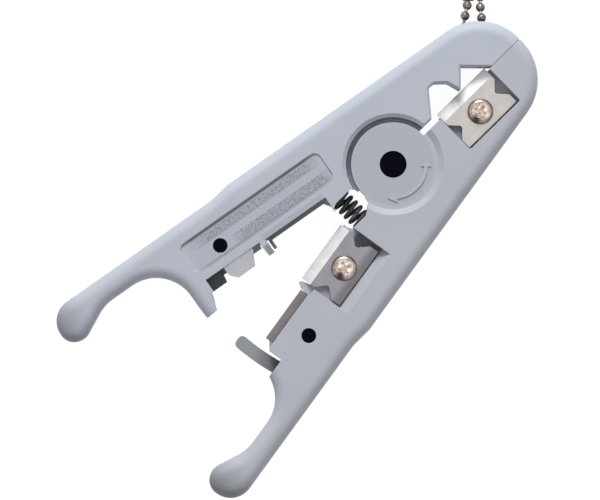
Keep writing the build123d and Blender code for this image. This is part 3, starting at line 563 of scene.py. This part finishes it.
def plated_metal(name, colour, roughness=0.22, tarnish=0.35, head=None):
    """Bright plating with brown tarnish in spots and fine scratches; a screw's head gets a painted darker
    reflection round its rim and a painted dark reflection spot.
    """
    shader = Shader(name)
    spots = shader.noise(shader.object_space, SPOT_SCALE, detail=4, roughness=0.65)
    scratches = shader.noise(shader.placed(scale=SCRATCH_SCALES, turn=0.6), 1, detail=3)
    clean = shader.spread(spots, 0, 1, start=0.36, end=0.6)
    base = shader.tint(clean, shaded(colour, tarnish), shaded(colour, CLEAN_TONE))
    if head:
        # Painted darker reflection round the rim, mottled by the spots, and a painted dark reflection spot
        # beside the middle
        rim = shader.tint(shader.spread(spots, 0, 1), *(shaded(colour, tone) for tone in RIM_TONES))
        base = shader.tint(shader.near(head, RIM_START, RIM_FULL), rim, base)
        dark_reflection = shader.near((head[0] + DARK_REFLECTION_X, head[1] + DARK_REFLECTION_Y), DARK_REFLECTION_FULL, DARK_REFLECTION_NONE)
        base = shader.tint(dark_reflection, base, shaded(colour, DARK_REFLECTION_TONE))
    rough = shader.spread(spots, roughness + 0.2, roughness - 0.05)
    return shader.finish(base, rough, shader.bump(scratches, 0.2, LINE_DEPTH), Metallic=1)


def black_oxide(name, colour):
    """Oiled black steel, a little lighter where it has been handled."""
    shader = Shader(name)
    wear = shader.noise(shader.object_space, WEAR_SCALE, detail=4, roughness=0.6)
    base = shader.tint(shader.spread(wear, 0, 1, start=0.45, end=0.8), colour, shaded(colour, WEAR_TONE))
    rough = shader.spread(wear, 0.42, 0.6)
    normal = shader.bump(wear, 0.2, WEAR_DEPTH)
    return shader.finish(base, rough, normal, Specular_IOR_Level=OXIDE_SHINE)


def give(thing, *materials):
    """Makes these the only materials of an object."""
    thing.data.materials.clear()
    for material in materials:
        thing.data.materials.append(material)


# Modelling helpers


def only(thing):
    """Selects one object and makes it the active one."""
    if bpy.context.mode != "OBJECT":
        bpy.ops.object.mode_set(mode="OBJECT")
    bpy.ops.object.select_all(action="DESELECT")
    thing.select_set(True)
    bpy.context.view_layer.objects.active = thing


def begin(name, primitive, **values):
    """A new primitive, alone selected, under this name."""
    bpy.ops.object.select_all(action="DESELECT")
    primitive(**values)
    piece = bpy.context.object
    piece.name = piece.data.name = name
    return piece


def edit(piece, kind="FACE"):
    """Enters edit mode with nothing selected."""
    only(piece)
    bpy.ops.object.mode_set(mode="EDIT")
    bpy.ops.mesh.select_mode(type=kind)
    bpy.ops.mesh.select_all(action="DESELECT")


def choose(piece, kind, test):
    """Enters edit mode with only the faces, edges or points that pass the test selected."""
    edit(piece, kind)
    bpy.ops.object.mode_set(mode="OBJECT")
    mesh = piece.data
    if kind == "FACE":
        for face in mesh.polygons:
            face.select = test(face.center, face.normal)
    elif kind == "EDGE":
        for edge in mesh.edges:
            edge.select = test(*(mesh.vertices[i].co for i in edge.vertices))
    else:
        for point in mesh.vertices:
            point.select = test(point.co)
    bpy.ops.object.mode_set(mode="EDIT")


def done(piece, smooth=30):
    """Leaves edit mode, settles the object's place in its mesh and smooths its shading."""
    only(piece)
    bpy.ops.object.transform_apply(location=True, rotation=True, scale=True)
    bpy.ops.object.shade_smooth_by_angle(angle=radians(smooth))


def outwards(piece):
    """Merges doubles and turns every face outwards."""
    edit(piece, "VERT")
    bpy.ops.mesh.select_all(action="SELECT")
    bpy.ops.mesh.remove_doubles(threshold=WELD)
    bpy.ops.mesh.normals_make_consistent(inside=False)
    bpy.ops.object.mode_set(mode="OBJECT")


def apply_modifier(piece, kind, **values):
    """Adds a modifier with these values and applies it."""
    only(piece)
    modifier = piece.modifiers.new(kind.title(), kind)
    for key, value in values.items():
        setattr(modifier, key, value)
    bpy.ops.object.modifier_apply(modifier=modifier.name)


def cut_away(piece, cutter):
    """Takes a closed cutter out of a piece and deletes the cutter."""
    apply_modifier(piece, "BOOLEAN", operation="DIFFERENCE", solver="EXACT", object=cutter)
    bpy.data.objects.remove(cutter)


def slice_off(piece, point, normal):
    """Cuts a piece by a plane, drops what lies on the normal's side and closes the cut."""
    edit(piece)
    bpy.ops.mesh.select_all(action="SELECT")
    bpy.ops.mesh.bisect(
        plane_co=point,
        plane_no=Vector(normal).normalized(),
        use_fill=True,
        clear_outer=True,
        threshold=WELD,
    )
    bpy.ops.object.mode_set(mode="OBJECT")


def break_edges(piece, width):
    """Rounds every sharp edge a little."""
    apply_modifier(piece, "BEVEL", width=width, segments=2, limit_method="ANGLE", angle_limit=SHARP)
    outwards(piece)


def second_material(piece, test):
    """Gives the faces that pass the test the piece's second material."""
    choose(piece, "FACE", test)
    piece.active_material_index = 1
    bpy.ops.object.material_slot_assign()
    bpy.ops.object.mode_set(mode="OBJECT")


def copy_to(piece, name, place, turn=0):
    """A copy with its own mesh, turned about Z and moved to its place."""
    twin = piece.copy()
    twin.data = piece.data.copy()
    twin.name = twin.data.name = name
    twin.data.transform(Matrix.Translation(place) @ Matrix.Rotation(turn, 4, "Z"))
    bpy.context.scene.collection.objects.link(twin)
    return twin


def fit(piece, body, slot, *nodes):
    """Puts a finished piece on its body in place of its nodes."""
    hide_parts(*nodes)
    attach(piece, body)


def middle(node):
    """The middle of a node's box at rest."""
    low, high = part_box(node)
    return (low + high) / 2


# Pieces


# The X of the plain arm's jaw face and how squarely its faces look along X, the Y from which it carries the
# lip, the lip's distance from the face's border, the depth at which it is rooted, and its thickness
JAW_FACE = -0.35 * MM
JAW_FACING = 0.99
LIP_FROM = 32 * MM
LIP_MARGIN = 0.3 * MM
LIP_ROOT = 0.2 * MM
LIP_THICKNESS = 0.45 * MM


class STRIPPER_OT_arms(bpy.types.Operator):
    """Gives both moulded arms their satin plastic, with painted shade in listed zones and painted light round
    the hub
    """

    bl_idname = "stripper.arms"
    bl_label = "Moulded arms"

    def execute(self, context):
        settings = context.scene.stripper.plastic
        plain = moulded_plastic(
            "notched_arm_plastic", settings.colour, settings, worn=LABEL_BANDS, tones=PLAIN_ARM_TONES
        )
        give(frame["nodes"]["notched_arm"], plain)
        carrier = moulded_plastic(
            "blade_arm_plastic", settings.second_colour, settings, tones=BLADE_ARM_TONES
        )
        give(frame["nodes"]["blade_arm"], carrier)
        self.lip(plain)
        return {"FINISHED"}

    def lip(self, plastic):
        """Raises a low lip from the plain arm's jaw face, so that no light passes the closed jaws."""
        lip = copy_to(frame["nodes"]["notched_arm"], "jaw_lip", (0, 0, 0))
        lip.parent = None
        outwards(lip)
        choose(lip, "FACE", lambda co, normal: not self.on_jaw(co, normal))
        bpy.ops.mesh.delete(type="FACE")
        bpy.ops.mesh.select_all(action="SELECT")
        bpy.ops.mesh.dissolve_limited(angle_limit=radians(1))
        bpy.ops.mesh.select_all(action="SELECT")
        bpy.ops.mesh.inset(thickness=LIP_MARGIN)
        bpy.ops.mesh.select_all(action="INVERT")
        bpy.ops.mesh.delete(type="FACE")
        bpy.ops.mesh.select_all(action="SELECT")
        bpy.ops.transform.translate(value=(-LIP_ROOT, 0, 0))
        bpy.ops.object.mode_set(mode="OBJECT")
        apply_modifier(lip, "SOLIDIFY", thickness=LIP_THICKNESS, offset=1)
        outwards(lip)
        done(lip)
        give(lip, plastic)
        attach(lip, "notched_side")

    def on_jaw(self, co, normal):
        """True for a face of the closed jaw's outer part."""
        return normal.x > JAW_FACING and abs(co.x - JAW_FACE) < 2 * SAME and co.y > LIP_FROM


# The blade's forms that a user wouldn't change: how far its notches lie from its middle line, the faces of
# a notch's round, the height of the edge between its two ground faces, the share of its bevel's normal
# along X, and its slot's radius, sides and reach past the radius on either side
NOTCH_SHIFT = 0.6 * MM
NOTCH_STEPS = 5
EDGE_HEIGHT = 0.15 * MM
BEVEL_LEAN = (-0.7, -0.3)
SLOT_RADIUS = 1.6 * MM
SLOT_SIDES = 48
SLOT_REACH = {-1: 0.2 * MM, 1: 1.0 * MM}


class STRIPPER_OT_blades(bpy.types.Operator):
    """Models one ground blade and fits it in the jaw and in the handle"""

    bl_idname = "stripper.blades"
    bl_label = "Blades"

    def execute(self, context):
        settings = context.scene.stripper.blade
        low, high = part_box("head_blade")
        screw = middle("head_blade_screw")
        edge = low.x - screw.x
        blade = self.blank(settings, edge, high - low)
        self.slot(blade, high.z - low.z)
        self.grind(blade, settings, edge, high.z - low.z)
        self.colour(blade, context.scene.stripper.steel)
        handle_screw = middle("handle_blade_screw")
        handle = copy_to(blade, "handle_blade_ground", (*handle_screw.xy, low.z), turn=HANDLE_TILT)
        blade.data.transform(Matrix.Translation((*screw.xy, low.z)))
        self.colour_handle(handle, context.scene.stripper.steel)
        fit(blade, "head_blade_body", "blade_steel", "head_blade")
        fit(handle, "handle_blade_body", "blade_steel", "handle_blade")
        return {"FINISHED"}

    def blank(self, settings, edge, size):
        """A flat plate with a rounded notch in each short end, about its screw."""
        width, length, thickness = size
        blade = begin("head_blade_ground", bpy.ops.mesh.primitive_cube_add, size=1)
        edit(blade)
        bpy.ops.mesh.select_all(action="SELECT")
        bpy.ops.transform.resize(value=(width, length, thickness))
        bpy.ops.transform.translate(value=(edge + width / 2, 0, thickness / 2))
        notch = edge + width / 2 + NOTCH_SHIFT
        for x in (notch - settings.notch_width / 2, notch, notch + settings.notch_width / 2):
            bpy.ops.mesh.select_all(action="SELECT")
            bpy.ops.mesh.bisect(plane_co=(x, 0, 0), plane_no=(1, 0, 0), threshold=WELD)
        for end in (-1, 1):
            choose(blade, "VERT", lambda co: abs(co.x - notch) < SAME and abs(co.y - end * length / 2) < SAME)
            bpy.ops.transform.translate(value=(0, -end * settings.notch_depth, 0))
        choose(
            blade,
            "EDGE",
            lambda one, two: abs(one.x - notch) + abs(two.x - notch) < SAME and abs(one.y - two.y) < SAME,
        )
        bpy.ops.mesh.bevel(offset=settings.notch_round, segments=NOTCH_STEPS, affect="EDGES")
        outwards(blade)
        return blade

    def grind(self, blade, settings, edge, thickness):
        """Grinds the wide bevel and the fine edge below it, and breaks the edges."""
        slope = (thickness - EDGE_HEIGHT) / settings.bevel_width
        slice_off(blade, (edge, 0, EDGE_HEIGHT), (-slope, 0, 1))
        edge_slope = slope + EDGE_HEIGHT / settings.edge_width
        slice_off(blade, (edge, 0, 0), (-edge_slope, 0, 1))
        break_edges(blade, settings.break_width)
        done(blade, smooth=12)

    def colour(self, blade, steel):
        """Gives the head blade its flat's steel and its bevel's, with a painted lighter patch on the bevel
        beside the tooth.
        """
        bevel = ground_steel("head_bevel_steel", steel.bevel_colour, 0, roughness=0.65, tones=BEVEL_TONES)
        give(blade, ground_steel("head_blade_steel", steel.blade_colour, pi / 2), bevel)
        least, most = BEVEL_LEAN
        second_material(blade, lambda co, normal: least < normal.x < most and normal.z > 0.5)

    def colour_handle(self, blade, steel):
        """Gives the handle blade its steels: its flat in the darker colour that paints a dimmer reflection,
        with painted shade along the back edge, and its bevel's.
        """
        along = pi / 2 + HANDLE_TILT
        blade.data.materials[0] = ground_steel(
            "handle_blade_steel", steel.handle_blade_colour, along, tones=BACK_TONES
        )
        blade.data.materials[1] = ground_steel(
            "handle_bevel_steel", steel.bevel_colour, HANDLE_TILT, roughness=0.5
        )

    def slot(self, blade, thickness):
        """Cuts the long hole that the blade slides by."""
        cutter = begin(
            "slot_cutter",
            bpy.ops.mesh.primitive_cylinder_add,
            radius=SLOT_RADIUS,
            depth=3 * thickness,
            vertices=SLOT_SIDES,
            location=(0, 0, thickness / 2),
        )
        done(cutter)
        for side, reach in SLOT_REACH.items():
            choose(cutter, "VERT", lambda co: side * co.x > 0)
            bpy.ops.transform.translate(value=(side * reach, 0, 0))
        bpy.ops.object.mode_set(mode="OBJECT")
        cut_away(blade, cutter)


# The screw's forms that a user wouldn't change: its head's height and sides, the faces and fullness of the
# head's rounded rim, its shank's radius, the two steps that crown its head (width and rise), the rim under
# its head, the break round the shank's tip, the share of the cross's size that is left at its bottom, and
# the margin added to the cross's depth and to the reach within which its faces are found
HEAD_HEIGHT = 2 * MM
HEAD_SIDES = 72
DOME_STEPS, DOME_PROFILE = 8, 0.55
SHANK_RADIUS = 1.45 * MM
CROWN_STEPS = ((0.6 * MM, 0.07 * MM), (0.6 * MM, 0.04 * MM))
RIM_WIDTH, RIM_DEPTH = 0.25 * MM, 0.05 * MM
TIP_BREAK = 0.25 * MM
CROSS_TAPER = 0.45
CROSS_MARGIN = 0.1 * MM

# Each screw's node, its body, its new piece's name and the turn of its cross
SCREWS = (
    ("head_blade_screw", "head_screw_body", "head_screw_plated", radians(20)),
    ("handle_blade_screw", "handle_screw_body", "handle_screw_plated", radians(65)),
)


class STRIPPER_OT_screws(bpy.types.Operator):
    """Models one cross-recess screw and fits it on each blade"""

    bl_idname = "stripper.screws"
    bl_label = "Clamp screws"

    def execute(self, context):
        settings = context.scene.stripper.screw
        steel = context.scene.stripper.steel
        low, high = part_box("head_blade_screw")
        screw = self.turned((high.x - low.x) / 2, low.z, high.z, settings.dome)
        self.recess(screw, settings, high.z)
        break_edges(screw, EDGE_BREAK)
        done(screw)
        # The cross recess in its lighter plating: painted light over the recess's shade
        plating = plated_metal("recess_painted_light_plating", steel.recess_painted_light_colour, roughness=0.5, tarnish=0.6)
        give(screw, plating, plating)
        reach = settings.cross_length / 2 + CROSS_MARGIN
        floor = high.z - settings.cross_depth - 2 * CROSS_MARGIN
        ceiling = high.z - CROSS_MARGIN
        second_material(screw, lambda co, normal: floor < co.z < ceiling and co.xy.length < reach)
        for node, body, name, turn in SCREWS:
            centre = middle(node).xy
            twin = copy_to(screw, name, (*centre, 0), turn=turn)
            twin.data.materials[0] = plated_metal(
                name + "_metal", steel.screw_colour, tarnish=0.45, head=tuple(centre)
            )
            fit(twin, body, "screw_brass", node)
        bpy.data.objects.remove(screw)
        return {"FINISHED"}

    def turned(self, radius, bottom, top, dome):
        """A screw with a crowned head and a plain shank, about the Z axis."""
        screw = begin(
            "head_screw",
            bpy.ops.mesh.primitive_cylinder_add,
            radius=radius,
            depth=HEAD_HEIGHT,
            vertices=HEAD_SIDES,
            location=(0, 0, top - HEAD_HEIGHT / 2),
        )
        done(screw)
        choose(screw, "FACE", lambda co, normal: normal.z > FACING)
        bpy.ops.mesh.bevel(offset=dome, segments=DOME_STEPS, profile=DOME_PROFILE)
        choose(screw, "FACE", lambda co, normal: co.z > top - WELD)
        for width, rise in CROWN_STEPS:
            bpy.ops.mesh.inset(thickness=width, depth=rise)
        choose(screw, "FACE", lambda co, normal: normal.z < -FACING)
        bpy.ops.mesh.inset(thickness=RIM_WIDTH, depth=RIM_DEPTH)
        bpy.ops.mesh.inset(thickness=radius - RIM_WIDTH - SHANK_RADIUS)
        shank = (0, 0, bottom - (top - HEAD_HEIGHT) + RIM_DEPTH)
        bpy.ops.mesh.extrude_region_move(TRANSFORM_OT_translate={"value": shank})
        bpy.ops.mesh.bevel(offset=TIP_BREAK, segments=2)
        bpy.ops.object.mode_set(mode="OBJECT")
        outwards(screw)
        return screw

    def recess(self, screw, settings, top):
        """Cuts the cross, narrower at its bottom."""
        for turn in (0, pi / 2):
            cutter = begin(
                "cross_cutter",
                bpy.ops.mesh.primitive_cube_add,
                size=1,
                location=(0, 0, top),
                rotation=(0, 0, turn),
            )
            height = 2 * (settings.cross_depth + CROSS_MARGIN)
            cutter.scale = (settings.cross_length, settings.cross_width, height)
            done(cutter)
            choose(cutter, "FACE", lambda co, normal: normal.z < -FACING)
            bpy.ops.transform.resize(value=(CROSS_TAPER, CROSS_TAPER, 1))
            bpy.ops.object.mode_set(mode="OBJECT")
            cut_away(screw, cutter)


# The faces round the spring's wire, and along one of its turns
WIRE_SIDES = 20
COIL_STEPS = 40


class STRIPPER_OT_spring(bpy.types.Operator):
    """Winds the return spring between its two seats"""

    bl_idname = "stripper.spring"
    bl_label = "Return spring"

    def execute(self, context):
        settings = context.scene.stripper.spring
        low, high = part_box("return_spring")
        wire = settings.wire / 2
        centre = (low + high) / 2
        coil_radius = (high.z - low.z) / 2 - wire
        length = high.x - low.x - 2 * wire
        spring = begin(
            "return_spring_coil",
            bpy.ops.mesh.primitive_circle_add,
            radius=wire,
            vertices=WIRE_SIDES,
            location=(0, 0, coil_radius),
            rotation=(pi / 2, 0, 0),
        )
        done(spring)
        apply_modifier(
            spring,
            "SCREW",
            axis="X",
            angle=2 * pi,
            iterations=settings.turns,
            screw_offset=length / settings.turns,
            steps=COIL_STEPS,
            render_steps=COIL_STEPS,
        )
        edit(spring, "EDGE")
        bpy.ops.mesh.select_non_manifold()
        bpy.ops.mesh.fill_holes(sides=0)
        outwards(spring)
        only(spring)
        spring.location = (low.x + wire, centre.y, centre.z)
        done(spring, smooth=50)
        give(spring, black_oxide("spring_wire", slot_colour("spring_steel")))
        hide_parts("return_spring")
        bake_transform(spring)
        return {"FINISHED"}


class STRIPPER_OT_steel(bpy.types.Operator):
    """Finishes the cutters, nuts, pins, clip, washers and chain"""

    bl_idname = "stripper.steel"
    bl_label = "Steel parts"

    def execute(self, context):
        settings = context.scene.stripper.steel
        black = black_oxide("black_oxide", settings.black_colour)
        nut = plated_metal("nut_plating", slot_colour("screw_brass"))
        chain = shaded(slot_colour("chain_metal"), 0.5)
        sleeve = shaded(slot_colour("connector_metal"), 0.7)
        washer = slot_colour("washer_plastic")
        finishes = {
            "pivot_pin": black,
            "hub_washer": moulded_plastic("washer_plastic", washer, context.scene.stripper.plastic),
            "clip_washer": black,
            "pivot_clip": black,
            "head_blade_nut": nut,
            "handle_blade_nut": nut,
            "upper_cutter": ground_steel("tab_steel", settings.tab_colour, pi / 2 - HANDLE_TILT),
            "lower_cutter": ground_steel("cutter_steel", settings.cutter_colour, pi / 2 + HANDLE_TILT),
            "upper_cutter_pin": black,
            "lower_cutter_pin": black,
            "lanyard_pin": black,
            "bead_chain": plated_metal("chain_plating", chain, tarnish=0.2),
            "chain_connector": plated_metal("sleeve_plating", sleeve),
        }
        for node, finish in finishes.items():
            give(frame["nodes"][node], finish)
        return {"FINISHED"}


# The lamps' places and sizes in metres, the floor's own grey and roughness, its glow and the glow's share
# for the rays that see white, its size in metres, and how far it lies below the tool
KEY_PLACE, KEY_SIZE = (-0.95, 0.75, 0.85), 0.6
FILL_PLACE, FILL_SIZE = (0.1, 0.2, 1.5), 0.9
FLOOR_GREY = 0.86
FLOOR_ROUGHNESS = 0.9
FLOOR_GLOW = 1.13
FLOOR_SHARE = 0.85
FLOOR_SIZE = 4
FLOOR_DROP = 0.02 * MM

# The camera's sensor in millimetres, and how far it sees in metres
SENSOR_WIDTH = 36
CLIP_END = 20


class STRIPPER_OT_stage(bpy.types.Operator):
    """Sets the floor, the lights, the world and the camera"""

    bl_idname = "stripper.stage"
    bl_label = "Stage"

    def execute(self, context):
        settings = context.scene.stripper.stage
        context.scene.view_settings.view_transform = "Standard"
        self.floor()
        self.world(context, settings)
        self.lamp(context, "key_light", KEY_PLACE, KEY_SIZE, settings.key_power)
        self.lamp(context, "fill_light", FILL_PLACE, FILL_SIZE, settings.fill_power)
        self.camera(context, settings)
        return {"FINISHED"}

    def floor(self):
        """A pale sheet that looks white and keeps the tool's shadow."""
        bpy.ops.object.select_all(action="DESELECT")
        bpy.ops.mesh.primitive_plane_add(size=FLOOR_SIZE, location=(0, 0, -FLOOR_DROP))
        floor = bpy.context.object
        floor.name = "floor"
        shader = Shader("floor_paper")
        shader.bsdf.inputs["Base Color"].default_value = (FLOOR_GREY, FLOOR_GREY, FLOOR_GREY, 1)
        shader.bsdf.inputs["Roughness"].default_value = FLOOR_ROUGHNESS
        share = shader.maths("MULTIPLY", shader.sees_white(), FLOOR_SHARE)
        glow = shader.node("ShaderNodeEmission", Strength=FLOOR_GLOW)
        mixed = shader.node("ShaderNodeMixShader")
        shader.join(share, mixed.inputs["Fac"])
        shader.join(shader.bsdf.outputs[0], mixed.inputs[1])
        shader.join(glow.outputs[0], mixed.inputs[2])
        shader.join(mixed.outputs[0], shader.tree.nodes["Material Output"].inputs["Surface"])
        give(floor, shader.material)

    def world(self, context, settings):
        """Plain light from all round, seen as white."""
        world = bpy.data.worlds.new("studio_air")
        context.scene.world = world
        world.use_nodes = True
        nodes = Nodes(world.node_tree)
        air = nodes.tree.nodes["Background"]
        air.inputs["Color"].default_value = (1, 1, 1, 1)
        level = nodes.spread(nodes.sees_white(), settings.world_level, 1, start=0, end=1)
        nodes.join(level, air.inputs["Strength"])

    def lamp(self, context, name, place, size, power):
        """A square lamp that faces the pivot."""
        lamp = bpy.data.lights.new(name, "AREA")
        lamp.size = size
        lamp.energy = power
        thing = bpy.data.objects.new(name, lamp)
        thing.location = place
        thing.rotation_euler = (-Vector(place)).to_track_quat("-Z", "Y").to_euler()
        context.scene.collection.objects.link(thing)

    def camera(self, context, settings):
        """A camera that looks straight down, with its picture as wide as the view at the upper face."""
        data = bpy.data.cameras.new("camera")
        distance = settings.camera_height - cad_box[1].z
        data.sensor_width = SENSOR_WIDTH
        data.lens = data.sensor_width * distance / settings.view_width
        data.clip_end = CLIP_END
        thing = bpy.data.objects.new("camera", data)
        thing.location = (*settings.view_centre, settings.camera_height)
        thing.rotation_euler = (0, 0, settings.view_turn)
        context.scene.collection.objects.link(thing)
        context.scene.camera = thing


class STRIPPER_PT_panel(bpy.types.Panel):
    """Lists the operators and their settings"""

    bl_label = "Cable stripper"
    bl_idname = "STRIPPER_PT_panel"
    bl_space_type = "VIEW_3D"
    bl_region_type = "UI"
    bl_category = "Stripper"

    def draw(self, context):
        settings = context.scene.stripper
        for part in StripperSettings.__annotations__:
            group = getattr(settings, part)
            box = self.layout.box()
            for name in group.__annotations__:
                box.prop(group, name)
        for operator in OPERATORS:
            self.layout.operator(operator.bl_idname)


SETTINGS = (
    PlasticSettings,
    BladeSettings,
    ScrewSettings,
    SpringSettings,
    SteelSettings,
    StageSettings,
    StripperSettings,
)
OPERATORS = (
    STRIPPER_OT_arms,
    STRIPPER_OT_blades,
    STRIPPER_OT_screws,
    STRIPPER_OT_spring,
    STRIPPER_OT_steel,
    STRIPPER_OT_stage,
)


def register():
    for each in (*SETTINGS, *OPERATORS, STRIPPER_PT_panel):
        bpy.utils.register_class(each)
    bpy.types.Scene.stripper = bpy.props.PointerProperty(type=StripperSettings)


def unregister():
    del bpy.types.Scene.stripper
    for each in reversed((*SETTINGS, *OPERATORS, STRIPPER_PT_panel)):
        bpy.utils.unregister_class(each)


def main():
    """Builds every piece in order."""
    register()
    bpy.ops.stripper.arms()
    bpy.ops.stripper.blades()
    bpy.ops.stripper.screws()
    bpy.ops.stripper.spring()
    bpy.ops.stripper.steel()
    bpy.ops.stripper.stage()


if __name__ == "__main__":
    main()
